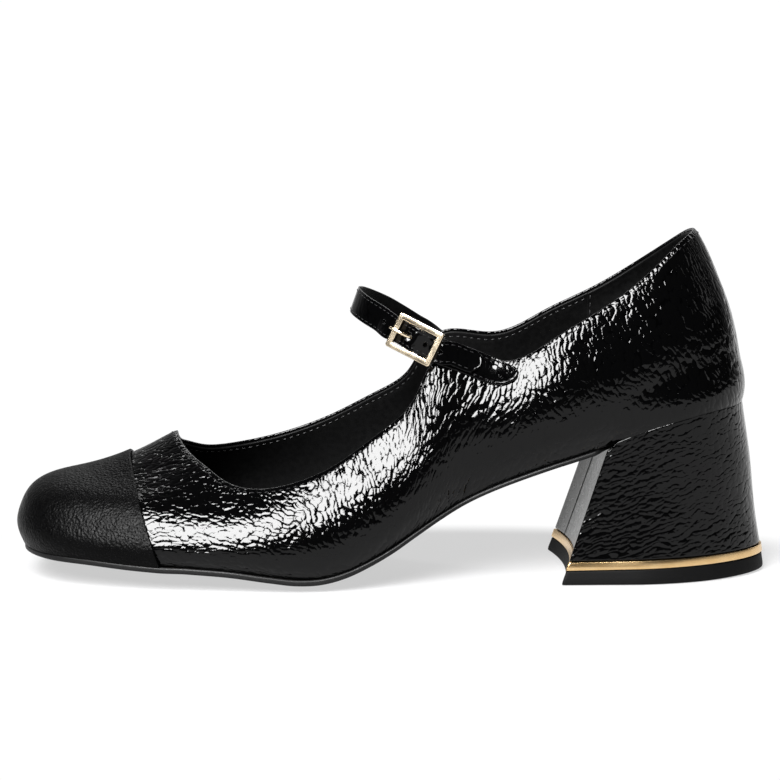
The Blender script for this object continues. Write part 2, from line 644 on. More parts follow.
# ------------------------------------------------------------------ upper
T_UP, EDGE = 1.2, 0.6
NT = 1000
ut = t_even(NT + 1)[:-1]
s0 = s_cut(ut, -9.0)
len1, _ = rising(ut, np.full(NT, 1.0))
s1 = 1 - EDGE / len1
rows = np.linspace(0, 1, 104)
ss = s0[:, None] + (s1 - s0)[:, None] * rows[None]
tg = np.broadcast_to(ut[:, None], ss.shape)
P0 = last(tg, ss)
N0 = normal(tg, ss)
seg = np.linalg.norm(np.diff(P0, axis=1), axis=2)
V = np.concatenate([np.zeros((NT, 1)), np.cumsum(seg, 1)], 1)
Vt = last(np.broadcast_to(ut[:, None], (NT, 60)), np.linspace(0, 1, 60)[None] * s0[:, None])
V += np.linalg.norm(np.diff(Vt, axis=1), axis=2).sum(1)[:, None]      # height above the feather
E = V[:, -1:] - V + EDGE                                            # distance below the topline
fl = flow_of(ut, P0, V)
X0 = P0[..., 0]
w1 = 1 - smooth(-34, -24, X0)
w3 = smooth(-2, 9, X0) * (1 - smooth(38, 47, X0))
GR = np.stack([w1, 1 - w1 - w3, w3], -1)
wx = noise3(fl[..., 0] / 11, fl[..., 1] / 11, fl[..., 2] / 30)
lump = noise3((fl[..., 0] + 3 * wx) / 7.5, fl[..., 1] / 6.0, fl[..., 2] / 9)
mask = smooth(2.2, 4.5, E) * smooth(0.5, 3.0, V)
off = mask * 0.045 * lump - 0.42 * np.clip(1 - E / 2.4, 0, 1) ** 2
outer = P0 + N0 * off[..., None]
EDGE_OFF = -0.42 * (1 - EDGE / 2.4) ** 2

_, up1 = rising(ut, s1)
n1, p1 = normal(ut, s1), last(ut, s1)
arcs = np.linspace(0, math.pi, 13)[1:-1]
top = np.stack([p1 + up1 * (EDGE * math.sin(a)) + n1 * (-T_UP / 2 + EDGE_OFF / 2 + (T_UP / 2 + EDGE_OFF / 2) * math.cos(a)) for a in arcs], 1)
ri = np.linspace(1, 0, 26)
si = s0[:, None] + (s1 - s0)[:, None] * ri[None]
ti = np.broadcast_to(ut[:, None], si.shape)
inner = last(ti, si) - normal(ti, si) * T_UP
_, up0 = rising(ut, s0)
n0, p0 = normal(ut, s0), last(ut, s0)
bot = np.stack([p0 - up0 * (EDGE * math.sin(a)) + n0 * (-EDGE - EDGE * math.cos(a)) for a in arcs], 1)
# over the heel the wall spreads to the heel block's edge
foot = last(ut, np.zeros(NT))
gap = np.zeros(NT)
for i in np.where(foot[:, 0] > 66)[0]:
    ring_ = d_top(float(foot[i, 2]))
    gap[i] = max(0.0, float(np.linalg.norm(ring_ - foot[i, :2], axis=1).min()) + 0.08)
gap *= smooth(70, 78, foot[:, 0])
flare = np.stack([_fn_at(ut)[:, 0] * gap, _fn_at(ut)[:, 1] * gap, 0 * gap], 1)
outer = outer + flare[:, None] * (1 - smooth(-0.03, 0.34, ss))[..., None]
inner = inner + flare[:, None] * (1 - smooth(-0.03, 0.34, si))[..., None]
bot = bot + flare[:, None]
P = np.concatenate([outer, top, inner, bot], 1)
zero = np.zeros((NT, 1))
Vall = np.concatenate([V, V[:, -1:] + np.linspace(0.1, 1.6, len(arcs))[None] + zero, V[:, -1:] + 1.8 + (1 - ri)[None] * 40, -np.linspace(0.1, 1, len(arcs))[None] + zero], 1)
upper = profile_solid("upper_patent", P, M["patent"], {"flow": flow_of(ut, P, Vall).reshape(-1, 3), "grain": np.concatenate(
    [GR, np.repeat(GR[:, -1:], P.shape[1] - GR.shape[1], 1)], 1).reshape(-1, 3)}, closed=True)
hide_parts("upper")

# ------------------------------------------------------------------ toe cap
CT = 240
tc = [t for t in np.linspace(0, 0.5, 2001) if s_cut(np.array([t]), 0.0)[0] > 1e-4]
tl = max(tc)
tm = [t for t in np.linspace(0, -0.5, 2001) if s_cut(np.array([t]), 0.0)[0] > 1e-4]
tM = min(tm)
ct = t_even(CT, tM, tl)
sc = s_cut(ct, 0.0)
lenc, _ = rising(ct, np.maximum(sc, 1e-3))
HC = 0.45
off_in, off_out = 0.32, 1.25
sc_in = np.maximum(sc - HC / lenc, sc * 0.5)
rows = np.linspace(0, 1, 96)
sg = sc_in[:, None] * rows[None]
tg = np.broadcast_to(ct[:, None], sg.shape)
pc, nc = last(tg, sg), normal(tg, sg)
big = noise3(pc[..., 0] / 14, pc[..., 1] / 14, pc[..., 2] / 14)
outer = pc + nc * (off_out + 0.045 * big * smooth(0, 4, -plane(pc)))[..., None]
_, upc = rising(ct, np.maximum(sc_in, 1e-3))
ne, pe = normal(ct, sc_in), last(ct, sc_in)
mid = (off_in + off_out) / 2
step = (sc - sc_in) * lenc
edge = np.stack([pe + upc * (step * math.sin(a))[:, None] + ne * (mid + (off_out - mid) * math.cos(a)) for a in arcs], 1)
inner = pc[:, ::-4] + nc[:, ::-4] * off_in
pb, nb0 = last(ct, np.zeros(CT)), normal(ct, np.zeros(CT))
_, upb = rising(ct, np.zeros(CT))
bot = np.stack([pb - upb * (0.55 * math.sin(a)) + nb0 * (mid - (off_out - mid) * math.cos(a)) for a in arcs], 1)
P = np.concatenate([outer, edge, inner, bot], 1)
cap = profile_solid("toe_cap_leather", P, M["cap"], {"flow": P.reshape(-1, 3)})
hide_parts("toe_cap")

# ------------------------------------------------------------------ linings
HEEL_SEAM_X = 71.0
_ts = np.linspace(0.02, 0.5, 800)
_x = last(_ts, np.full(800, 0.47))[:, 0]
t_lat = float(_ts[np.argmax(_x > HEEL_SEAM_X)])
_x = last(1 - _ts, np.full(800, 0.47))[:, 0]
t_med = float(1 - _ts[np.argmax(_x > HEEL_SEAM_X)])


def lining(name, ta, tb, n, node, lift=0.0):
    lt = t_even(n, ta, tb)
    le, _ = rising(lt, np.full(n, 1.0))
    top_s = 1 - 1.15 / le
    r = np.linspace(0, 1, 60)
    sg = top_s[:, None] * r[None]
    tg = np.broadcast_to(lt[:, None], sg.shape)
    p, nn = last(tg, sg), normal(tg, sg)
    cz = smooth(61, 76, p[:, :1, 0]) * (1 - smooth(0.66, 0.9, sg))
    d = 1.2 + 1.35 * cz
    e = (1 - sg) * le[:, None]
    soft = 0.10 * noise3(p[..., 0] / 16, p[..., 1] / 16, p[..., 2] / 16) * smooth(2, 8, e)
    th = 0.8 - 0.10 * np.exp(-(((e - 2.5) / 0.4) ** 2)) + soft + lift
    inn = p - nn * (d + th)[..., None]
    out = p - nn * d[..., None]
    ntop, ptop = normal(lt, top_s), last(lt, top_s)
    _, up = rising(lt, top_s)
    a = np.linspace(0, math.pi, 9)[1:-1]
    dt = d[:, -1:]
    tht = th[:, -1:]
    cap_ = np.stack([ptop - ntop * (dt + tht / 2 + tht / 2 * math.cos(x)) + up * (0.4 * math.sin(x)) for x in a], 1)
    P = np.concatenate([inn, cap_, out[:, ::-1]], 1)
    ob = profile_solid(name, P, M["lining"])
    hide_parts(node)
    return ob


lining("lining_vamp", t_med - 1.0, t_lat, 520, "vamp_lining")
lining("lining_heel", t_lat - 0.006, t_med + 0.006, 240, "heel_lining", 0.28)


ht = t_even(150, t_lat + 0.012, t_med - 0.012)
hs = np.linspace(0.03, 0.70, 60)
sg = np.broadcast_to(hs[None], (150, 60))
tg = np.broadcast_to(ht[:, None], sg.shape)
hp, hn = last(tg, sg), normal(tg, sg)
P = np.concatenate([hp - hn * 1.35, (hp - hn * 2.3)[:, ::-1]], 1)
counter = profile_solid("heel_counter_board", P, M["counter"])
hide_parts("heel_counter")


# ------------------------------------------------------------------ stitches
def stitch_row(name, path, nrm, mat, length=1.7, gap=0.75, r=0.17, rise=0.06, body="root", skip=None):
    """Separate stitches along a path: each is a short thread, sunk at both ends."""
    path, nrm = np.asarray(path, float), np.asarray(nrm, float)
    arc = np.concatenate([[0], np.cumsum(np.linalg.norm(np.diff(path, axis=0), axis=1))])
    n = max(1, int(arc[-1] // (length + gap)))
    pitch = arc[-1] / n
    verts, faces, fl = [], [], []
    K, R = 7, 6
    u = np.linspace(-1, 1, K)
    for i in range(n):
        c = (i + 0.5) * pitch
        if skip and skip(c):
            continue
        at = c + u * length / 2
        p = np.stack([np.interp(at, arc, path[:, k]) for k in range(3)], 1)
        m = unit(np.stack([np.interp(at, arc, nrm[:, k]) for k in range(3)], 1))
        tan = unit(np.gradient(p, axis=0))
        b = unit(np.cross(tan, m))
        lift = (rise + r * 0.5) * (1 - u**4) - 0.22 * u**4
        rad = r * np.sqrt(np.clip(1 - (np.abs(u) * 0.97) ** 5, 0.02, 1))
        base = len(verts)
        for k in range(K):
            for j in range(R):
                a = 2 * math.pi * j / R
                q = p[k] + m[k] * (lift[k] + rad[k] * math.sin(a)) + b[k] * (rad[k] * 1.15 * math.cos(a))
                verts.append(q)
                fl.append((at[k], j / R * 2, 0))
        for k in range(K - 1):
            for j in range(R):
                faces.append((base + k * R + j, base + k * R + (j + 1) % R, base + (k + 1) * R + (j + 1) % R, base + (k + 1) * R + j))
        faces.append(tuple(base + j for j in range(R)))
        faces.append(tuple(base + (K - 1) * R + j for j in range(R)))
    me = mesh_from(name, np.array(verts), faces, {"flow": np.array(fl)})
    fix_normals(me, 0)
    return new_object(name, me, mat, body)


def along_topline(e, ta, tb, n, off):
    t = np.mod(t_even(n, ta, tb), 1.0)
    le, _ = rising(t, np.full(n, 1.0))
    s = 1 - e / le
    nn = normal(t, s)
    return last(t, s) + nn * off, nn


p, nn = along_topline(1.9, 0.0, 1.0, 1500, -0.06)
stitch_row("stitches_topline", p, nn, M["thread"], 1.75, 0.65, 0.16, 0.02)
p, nn = along_topline(2.5, 0.0, 1.0, 1500, -1.92)
stitch_row("stitches_topline_inner", p, -nn, M["thread_in"], 1.5, 0.9, 0.15, 0.02)
for side, tq in (("lat", t_lat - 0.004), ("med", t_med + 0.004)):
    s = np.linspace(0.3, 0.965, 160)
    t = np.full(160, tq)
    pq, nq = last(t, s), normal(t, s)
    cz = smooth(61, 76, last(np.full(160, tq), np.zeros(160))[:, 0]) * (1 - smooth(0.66, 0.9, s))
    dd = 1.2 + 1.35 * cz + 0.8 + 0.28
    stitch_row("stitches_lining_seam_" + side, pq - nq * dd[:, None], -nq, M["thread_in"], 1.9, 0.8, 0.16, 0.0)

# ------------------------------------------------------------------ bottom: outsole and sock lining
def chains(d, x_max=1e9, inset=None):
    pts = _f + _fn * d
    i0, i1 = int(np.argmin(pts[:, 0])), int(np.argmax(pts[:, 0]))
    lat = np.array([pts[(i0 + k) % 1440] for k in range((i1 - i0) % 1440 + 1)])
    med = np.array([pts[(i0 - k) % 1440] for k in range((i0 - i1) % 1440 + 1)])
    return lat, med


_l0, _m0 = chains(0)


def feather_z(x, y):
    yl, ym = np.interp(x, _l0[:, 0], _l0[:, 1]), np.interp(x, _m0[:, 0], _m0[:, 1])
    v = np.clip((y - yl) / np.maximum(ym - yl, 1e-3), 0, 1)
    w = np.abs(ym - yl)
    return table(FZ, x) + arch(x) * v, v, w


def resample(c, n, ease=False):
    arc = np.concatenate([[0], np.cumsum(np.linalg.norm(np.diff(c, axis=0), axis=1))])
    u = np.linspace(0, 1, n)
    if ease:
        u = 0.5 * u + 0.5 * (1 - np.cos(math.pi * u)) / 2
    return np.stack([np.interp(u * arc[-1], arc, c[:, k]) for k in range(c.shape[1])], 1)


def slab_mesh(name, d, ztop, zbot, mat, nu=260, nv=40, x_end=None, pinch=None, r=0.5, attrs=None):
    lat, med = chains(d)
    if x_end is not None:
        def clip(c):
            y = np.interp(x_end, c[:, 0], c[:, 1])
            return np.vstack([c[c[:, 0] < x_end], [[x_end, y]]])
        lat, med = clip(lat), clip(med)
    lat, med = resample(lat, nu, True), resample(med, nu, True)
    if pinch is not None:
        lat[:, 1] += pinch(lat[:, 0])
        med[:, 1] -= pinch(med[:, 0])

    def inward(c, sign):
        t = unit(np.gradient(c, axis=0))
        n = np.stack([-t[:, 1], t[:, 0]], 1) * sign
        n[0] = (1, 0)
        if x_end is None:
            n[-1] = (-1, 0)
        return n
    nl, nm = inward(lat, 1), inward(med, -1)
    if np.sum(nl[nu // 2] * (med[nu // 2] - lat[nu // 2])) < 0:
        nl, nm = -nl, -nm
        nl[0] = nm[0] = (1, 0)
        if x_end is None:
            nl[-1] = nm[-1] = (-1, 0)
    ang = np.linspace(0, math.pi / 2, 6)
    ins = r * (1 - np.cos(ang))
    hh = np.sin(ang)                      # 0 at the equator .. 1 on the face
    colsl = [(lat + nl * e, h) for e, h in zip(ins, hh)]
    colsm = [(med + nm * e, h) for e, h in zip(ins, hh)]
    li, mi = lat + nl * r, med + nm * r
    inner = [(li + (mi - li) * v, 1.0) for v in (np.arange(1, nv) / nv)]
    run = colsl + inner + colsm[::-1]     # lateral edge, over the face, to the medial edge

    def face(top):
        res = []
        for xy, h in run:
            zt, zb = ztop(xy[:, 0], xy[:, 1]), zbot(xy[:, 0], xy[:, 1])
            zm = (zt + zb) / 2
            half = (zt - zb) / 2
            rr = np.minimum(r, half)
            z = zm + (1 if top else -1) * (half - rr + rr * h) if h < 1 else (zt if top else zb)
            z = np.where(h == 0, zm + (1 if top else -1) * (half - rr), z) if np.isscalar(h) else z
            res.append(np.column_stack([xy, z]))
        return res
    tops, bots = face(True), face(False)
    P = np.stack(tops + bots[::-1], 1)
    ob = profile_solid(name, P, mat, attrs(P) if attrs else None, merge=2e-7)
    return ob


def sole_top(x):
    return -0.5 - 0.4 * (1 - smooth(-76, -66, x))


def sole_crown(x, y, share):
    _, v, w = feather_z(x, y)
    c = 1.9 - 1.4 * smooth(-30, 5, x)
    return share * c * (1 - (2 * v - 1) ** 2) * np.minimum(1, w / 40)


outsole = slab_mesh("outsole_unit", 0.7, lambda x, y: feather_z(x, y)[0] + sole_top(x) - sole_crown(x, y, 0.6),
                    lambda x, y: feather_z(x, y)[0] + sole_top(x) - (2.0 - 0.4 * smooth(-20, 40, x)) - sole_crown(x, y, 1.0),
                    M["sole"], 300, 30, x_end=76.5, pinch=lambda x: 4.2 * smooth(66, 71, x), r=0.62)
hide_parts("outsole")

Z_SOCK = 1.75 + 1.8 + 2.4 + 0.6


def sock_top(x, y):
    z, v, w = feather_z(x, y)
    edge = np.minimum(v, 1 - v) * w
    pad = 0.45 * smooth(1.5, 9, edge) * smooth(58, 74, x) + 0.25 * smooth(1.0, 6, edge)
    line = -0.22 * np.exp(-(((edge - 3.4) / 0.45) ** 2)) * smooth(-118, -108, x)
    return z + Z_SOCK + 0.55 + pad + line + 0.06 * noise3(x / 9, y / 9, x * 0)


sock = slab_mesh("sock_padded", -4.6, sock_top, lambda x, y: feather_z(x, y)[0] + Z_SOCK, M["sock"], 320, 90, r=0.4)
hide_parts("sock_lining")

# ------------------------------------------------------------------ heel
WRAP = 12.6


def tilt(x):
    """The seam above the top piece rises a little towards the back."""
    return 1.1 * np.clip((np.asarray(x) - 58) / 66, 0, 1)


wrap = np.linspace(0, WRAP, 34)


def ring_wrap(z, d):
    at, c, tot = d_outline(z, d)
    s = np.concatenate([tot - wrap[::-1][:-1], np.linspace(0, c, 330), c + wrap[1:]])
    return at(s)


def ring_breast(z, d):
    at, c, tot = d_outline(z, d)
    return at(np.linspace(c + WRAP + 1.1, tot - WRAP - 1.1, 110))


def ring_full(z, d):
    at, c, tot = d_outline(z, d)
    return at(np.concatenate([np.linspace(0, c, 331)[:-1], np.linspace(c, tot, 121)[:-1]]))


def seat_z(x, y, a, b, drop=2.9, base=0.45):
    v = np.clip((y + 28) / 54, 0, 1)
    return table(FZ, x) + arch(x) * v - base - drop * (1 - smooth(a, b, x))


ZL = np.linspace(4.0, 62.0, 59)


def stack(ring, d):
    return np.stack([ring(z, d) for z in ZL])        # (z, column, 2)


def at_z(st, z):
    """Plan position of every column at its own height z (columns, rows)."""
    k = np.clip(((z - ZL[0]) / (ZL[1] - ZL[0])).astype(int), 0, len(ZL) - 2)
    f = ((z - ZL[k]) / (ZL[1] - ZL[0]))[..., None]
    c = np.arange(st.shape[1])[:, None]
    return st[k, c] * (1 - f) + st[k + 1, c] * f


def heel_piece(name, ring, d_out, d_in, z0, a, b, mat, closed=False, rows=110, r=0.35, bumpy=False, drop=2.9, base=0.45):
    so, si = stack(ring, d_out), stack(ring, d_in)
    zt = np.full(so.shape[1], 50.0)
    for _ in range(8):
        xy = at_z(so, zt[:, None])[:, 0]
        zt = seat_z(xy[:, 0], xy[:, 1], a, b, drop, base)
    n = so.shape[1]
    h = np.linspace(0, 1, rows)
    z0 = z0 + tilt(at_z(so, np.full((n, 1), 8.0))[:, 0, 0])
    zo = (z0 + r)[:, None] + (zt - z0 - 2 * r)[:, None] * h[None]
    xo = at_z(so, zo)
    outer = np.dstack([xo, zo[..., None]])
    tan = np.gradient(xo, axis=0)
    nrm = unit(np.stack([tan[..., 1], -tan[..., 0]], -1))
    if nrm[n // 2, 0, 0] < 0 and not ring is ring_breast:
        nrm = -nrm
    if ring is ring_breast and nrm[n // 2, 0, 0] > 0:
        nrm = -nrm
    arc = np.concatenate([[0], np.cumsum(np.linalg.norm(np.diff(xo[:, rows // 2], axis=0), axis=1))])
    u = np.abs(arc - arc[-1] / 2)
    uu = np.broadcast_to(u[:, None], zo.shape)
    if bumpy:
        yy = outer[..., 1] / 9
        lump = noise3(uu / 7.5, zo / 5.5, yy)
        dx = np.minimum(arc, arc[-1] - arc)[:, None]
        m = smooth(WRAP, WRAP + 3.0, dx) * smooth(0, 1.5, zo - z0[:, None]) * smooth(1.0, 3.2, zt[:, None] - zo)
        o = m * 0.045 * lump
        outer[..., :2] += nrm * o[..., None]
    zi = zo[:, ::-6]
    inner = np.dstack([at_z(si, zi), zi[..., None]])
    half = (d_in - d_out) / 2
    ang = np.linspace(0, math.pi, 9)[1:-1]

    def arcband(zc, sign):
        res = []
        mo = at_z(so, zc[:, None])[:, 0]
        mi = at_z(si, zc[:, None])[:, 0]
        for x in (ang if sign > 0 else ang[::-1]):
            f = (1 - math.cos(x)) / 2
            res.append(np.column_stack([mo + (mi - mo) * f, zc + sign * r * math.sin(x)]))
        return np.stack(res, 1)
    P = np.concatenate([outer, arcband(zt - r, 1), inner, arcband(z0 + r, -1)], 1)
    fl = np.stack([np.broadcast_to(u[:, None], P.shape[:2]), P[..., 2], P[..., 1]], -1)
    gr = np.zeros(P.shape[:2] + (3,)) + (1.0, 0.0, 0.0)
    ob = profile_solid(name, P, mat, {"flow": fl.reshape(-1, 3), "grain": gr.reshape(-1, 3)}, closed=closed)
    if isinstance(mat, list):
        co = np.array([f.center[:] for f in ob.data.polygons]) * 1e3 - SHIFT
        wrapped = co[:, 0] < 54.9 + co[:, 2] * 0.342 + 3.6
        wrapped &= np.abs(co[:, 1] + 2.0 - 0.03 * co[:, 2]) < 30.2 - co[:, 2] * 0.046 - 0.9 * np.sin(math.pi * np.clip(co[:, 2] / 57, 0, 1)) - 0.9
        ob.data.polygons.foreach_set("material_index", wrapped.astype(np.int32))
    return ob


cover = heel_piece("heel_cover_patent", ring_wrap, 0.0, 0.9, 7.7, 70.6, 73.6, [M["patent_heel"], M["breast"]], rows=120, bumpy=True, drop=1.7, base=0.1)
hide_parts("heel_cover")
breast = heel_piece("heel_breast_leather", ring_breast, 0.02, 0.8, 7.7, 79.2, 81.4, M["breast"], rows=60, r=0.3)
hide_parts("breast_cover")


def ring_solid(name, sections, mat, node):
    """A closed ring or block: sections are (z, d) in order round the profile."""
    P = np.stack([np.column_stack([ring_full(z, d), z + tilt(ring_full(z, d)[:, 0])]) for z, d in sections], 1)
    ob = profile_solid(name, P, mat, {"flow": P.reshape(-1, 3)}, closed=True)
    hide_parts(node)
    return ob


r = 0.16
sec = []
for cz, cd, a0 in ((7.4 - r, -0.25 + r, 0), (7.4 - r, 0.8 - r, 90), (4.8 + r, 0.8 - r, 180), (4.8 + r, -0.25 + r, 270)):
    for k in range(5):
        a = math.radians(a0 + k * 22.5)
        sec.append((cz + r * math.sin(a), cd - r * math.cos(a)))
ring_solid("heel_band_gold", sec, M["gold"], "heel_trim_band")

# rubber top piece: rounded lower and upper edges, tread lifted a little at the back
tp = []
for k in range(7):
    a = math.pi / 2 * k / 6
    tp.append((0.5 * (1 - math.sin(a)) , 0.12 + 0.5 * (1 - math.cos(a)), "low"))
low = tp[::-1]
levels = [(z, d, 1) for z, d, _ in low] + [(1.2, 0.02, 0.6), (2.4, 0.05, 0.2), (3.6, 0.08, 0)]
for k in range(7):
    a = math.pi / 2 * k / 6
    levels.append((4.5 - 0.35 + 0.35 * math.sin(a), 0.10 + 0.35 * (1 - math.cos(a)), 0))
cols = []
for z, d, lift in levels:
    xy = ring_full(z, d)
    cols.append(np.column_stack([xy, z * (1 + tilt(xy[:, 0]) / 4.5) + lift * 0.5 * smooth(100, 128, xy[:, 0])]))
P = np.stack(cols, 0)
nl, nr = P.shape[:2]
faces = [tuple(f) for f in grid_faces(nl, nr, cv=True).tolist()]


faces += [tuple(range(nr)), tuple((nl - 1) * nr + i for i in range(nr))]
me = mesh_from("heel_top_piece_rubber", P.reshape(-1, 3), faces, {"flow": P.reshape(-1, 3)})
fix_normals(me, 0)
tpo = new_object("heel_top_piece_rubber", me, M["rubber"])
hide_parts("top_piece")

# ------------------------------------------------------------------ strap, tab, buckle
BC = np.array([7.30, -29.2, 80.57])
BU = unit(np.array([0.852, -0.333, -0.407]))
BN = np.array([-0.289, -0.946, 0.169])
BN = unit(BN - BU * BN.dot(BU))
BV = -unit(np.cross(BN, BU))
if BV[2] < 0:
    BV = -BV
BAR_R, BAR_N = 0.65, -1.0


def b_at(u, n, v=0.0):
    return BC + BU * u + BN * n + BV * v


def on_wall(x, z, medial, off):
    t0, t1 = (0.62, 0.76) if medial else (0.24, 0.38)
    t = np.broadcast_to(np.linspace(t0, t1, 161)[:, None], (161, 61))
    s = np.broadcast_to(np.linspace(0.3, 1.0, 61)[None], (161, 61))
    p = last(t, s)
    k = np.argmin((p[..., 0] - x) ** 2 + (p[..., 2] - z) ** 2)
    i, j = divmod(int(k), 61)
    n = normal(t[i : i + 1, j], s[i : i + 1, j])[0]
    q = p[i, j].copy()
    q[0], q[2] = x, z
    return q + n * off, n


SW, SWB = 8.5, 7.6
path = []


def push(p, n, w):
    path.append((np.asarray(p, float), unit(np.asarray(n, float)), w))


tab_off = 0.3 + 1.0 + 0.3 + 0.6
q, n = on_wall(28.4, 71.6, False, tab_off)
push(q, n, 3.0)
q, n = on_wall(26.6, 72.5, False, tab_off)
push(q, n, 6.9)
q, n = on_wall(23.5, 73.6, False, tab_off + 0.15)
push(q, n, SWB)
q, n = on_wall(19.6, 75.1, False, tab_off + 0.6)
push(q, n, SWB)
push(b_at(9.4, -1.7), BN + (n - BN) * 0.35, SWB)
for u, nn_, w in ((6.9, -1.68, SWB), (4.0, -0.9, SWB), (1.6, 0.85, SWB), (-0.1, 1.3, SWB), (-1.9, 0.8, SWB), (-4.3, -0.95, SWB), (-7.0, -1.9, SWB), (-10.0, -2.6, SW)):
    push(b_at(u, nn_), BN, w)
for x, y, z, nz in ((-3.6, -18.6, 86.2, 0.2), (-7.5, -14.2, 88.2, 0.27), (-10.3, -9.2, 89.8, 0.33), (-11.4, -3.6, 90.6, 0.36), (-10.9, 2.0, 90.5, 0.36),
                    (-8.8, 7.6, 89.5, 0.33), (-5.2, 12.6, 87.6, 0.3), (-0.9, 17.2, 85.1, 0.28), (3.8, 21.2, 81.9, 0.28), (8.2, 24.7, 78.8, 0.28)):
    m = unit(np.array([x - 14.0, y, 0.0]))
    push((x, y, z), (m[0], m[1], nz), SW)
for x, z, o, w in ((13.2, 75.3, 1.7, SW), (17.4, 71.8, 1.0, SW), (21.6, 68.2, 0.9, SW), (25.0, 64.9, 0.9, SW), (26.6, 63.3, 0.9, 6.4)):
    q, n = on_wall(x, z, True, o)
    push(q, n, w)


def catmull(pts, t):
    """Centripetal Catmull-Rom through pts at parameters t in 0..1."""
    pts = np.asarray(pts, float)
    m = len(pts) - 1
    x = np.clip(t, 0, 1) * m
    k = np.minimum(x.astype(int), m - 1)
    f = x - k
    ext = np.vstack([2 * pts[0] - pts[1], pts, 2 * pts[-1] - pts[-2]])
    p0, p1, p2, p3 = (ext[k + i] for i in range(4))
    d0, d1, d2 = (np.maximum(np.linalg.norm(b - a, axis=1) ** 0.5, 1e-4)[:, None] for a, b in ((p0, p1), (p1, p2), (p2, p3)))
    t1 = ((p1 - p0) / d0 - (p2 - p0) / (d0 + d1) + (p2 - p1) / d1) * d1
    t2 = ((p2 - p1) / d1 - (p3 - p1) / (d1 + d2) + (p3 - p2) / d2) * d1
    f = f[:, None]
    return p1 + t1 * f + (-3 * p1 + 3 * p2 - 2 * t1 - t2) * f**2 + (2 * p1 - 2 * p2 + t1 + t2) * f**3


class Track:
    """A path with normals and widths, sampled by arc length in mm."""

    def __init__(self, pts):
        n = 3000
        t = np.linspace(0, 1, n)
        P_ = np.array([a[0] for a in pts])
        N_ = np.array([a[1] for a in pts])
        W_ = np.array([a[2] for a in pts], float)
        self.p = catmull(P_, t)
        tan = unit(np.gradient(self.p, axis=0))
        x = t * (len(pts) - 1)
        k = np.minimum(x.astype(int), len(pts) - 2)
        f = (x - k)[:, None]
        nn = N_[k] * (1 - f) + N_[k + 1] * f
        w = 61
        ker = np.hanning(w)
        ker /= ker.sum()
        pad = np.vstack([np.repeat(nn[:1], w // 2, 0), nn, np.repeat(nn[-1:], w // 2, 0)])
        nn = np.stack([np.convolve(pad[:, c], ker, "valid") for c in range(3)], 1)
        nn = unit(nn - tan * np.sum(nn * tan, 1)[:, None])
        self.n, self.t = nn, tan
        self.b = unit(np.cross(tan, nn))
        self.w = W_[k] * (1 - f[:, 0]) + W_[k + 1] * f[:, 0]
        self.arc = np.concatenate([[0], np.cumsum(np.linalg.norm(np.diff(self.p, axis=0), axis=1))])

    def at(self, s):
        g = lambda a: np.stack([np.interp(s, self.arc, a[:, c]) for c in range(3)], -1)
        return g(self.p), unit(g(self.n)), unit(g(self.b)), unit(g(self.t)), np.interp(s, self.arc, self.w)


def strip_solid(name, tr, s, lo, hi, mat, width, r=0.2, nv=26, body="root", dome=0.0, gutter=0.0, extra=None):
    """A flat strap along a track: rounded edges, a slight dome, and a line pressed in near both edges."""
    p, n, b, t, w0 = tr.at(s)
    w = width(s, w0)
    th = hi(s) - lo(s) if callable(hi) else np.full(len(s), hi - lo)
    base = lo(s) if callable(lo) else np.full(len(s), lo)
    rr = np.minimum(r, th / 2 * 0.98)
    prof = []
    a = np.linspace(0, math.pi / 2, 6)
    top = [(1, x, "t") for x in a] + [(v, None, "t") for v in np.linspace(1, -1, nv)[1:-1]] + [(-1, x, "t") for x in a[::-1]]
    botm = [(-1, x, "b") for x in a] + [(v, None, "b") for v in np.linspace(-1, 1, nv)[1:-1]] + [(1, x, "b") for x in a[::-1]]
    rings, fl = [], []
    for v, x, side in top + botm:
        half = np.maximum(w / 2, rr + 0.02)
        if x is None:
            y = v * (half - rr)
            z = np.zeros_like(w)
            e = half - np.abs(y)
            if side == "t":
                zz = base + th + dome * (1 - (y / half) ** 2) - gutter * np.exp(-(((e - 1.05) / 0.28) ** 2))
            else:
                zz = base
        else:
            y = v * (half - rr + rr * math.cos(x))
            zz = base + th - rr + rr * math.sin(x) if side == "t" else base + rr - rr * math.sin(x)
        rings.append(p + b * y[:, None] + n * zz[:, None])
        fl.append(np.column_stack([s, y + (0 if side == "t" else 20), 0 * y]))
    P = np.stack(rings, 1)
    F = np.stack(fl, 1)
    me_faces = [tuple(f) for f in grid_faces(len(s), P.shape[1], cv=True).tolist()]
    nvv = P.shape[1]
    order = list(range(nvv))
    me_faces += ladder(order) + ladder([(len(s) - 1) * nvv + j for j in order])
    me = mesh_from(name, P.reshape(-1, 3), me_faces, {"flow": F.reshape(-1, 3), "grain": np.tile((0.0, 0.0, 1.0), (P.shape[0] * nvv, 1))})
    fix_normals(me, 0)
    return new_object(name, me, mat, body)


tr = Track(path)
LT = tr.arc[-1]
TIP = 4.0


def strap_width(s, w0):
    w = np.where(s < 9, SWB, w0)
    k = np.clip(1 - s / TIP, 0, 1)
    w = w * np.sqrt(np.clip(1 - k**2.2, 0.0, 1)) + 0.05
    e = np.clip(1 - (LT - s) / 1.2, 0, 1)
    w = np.where(LT - s < 1.2, SW * np.sqrt(np.clip(1 - 0.35 * e**2, 0.05, 1)), np.where(s > LT - 20, SW, w))
    return w


s_tip = TIP * (1 - np.cos(np.linspace(0.02, math.pi / 2, 22)))
s_all = np.concatenate([s_tip, np.linspace(TIP, LT, 470)[1:]])
# half way round the hinge the strap's end stays on the shoe
face = strip_solid("strap_patent", tr, s_all, 0.02, 0.57, M["patent_fine"], strap_width, 0.2, 26, None, dome=0.05, gutter=0.05)
under = strip_solid("strap_backing", tr, s_all, -0.42, 0.0, M["lining"], lambda s, w: strap_width(s, w) - 0.12, 0.18, 14, None)

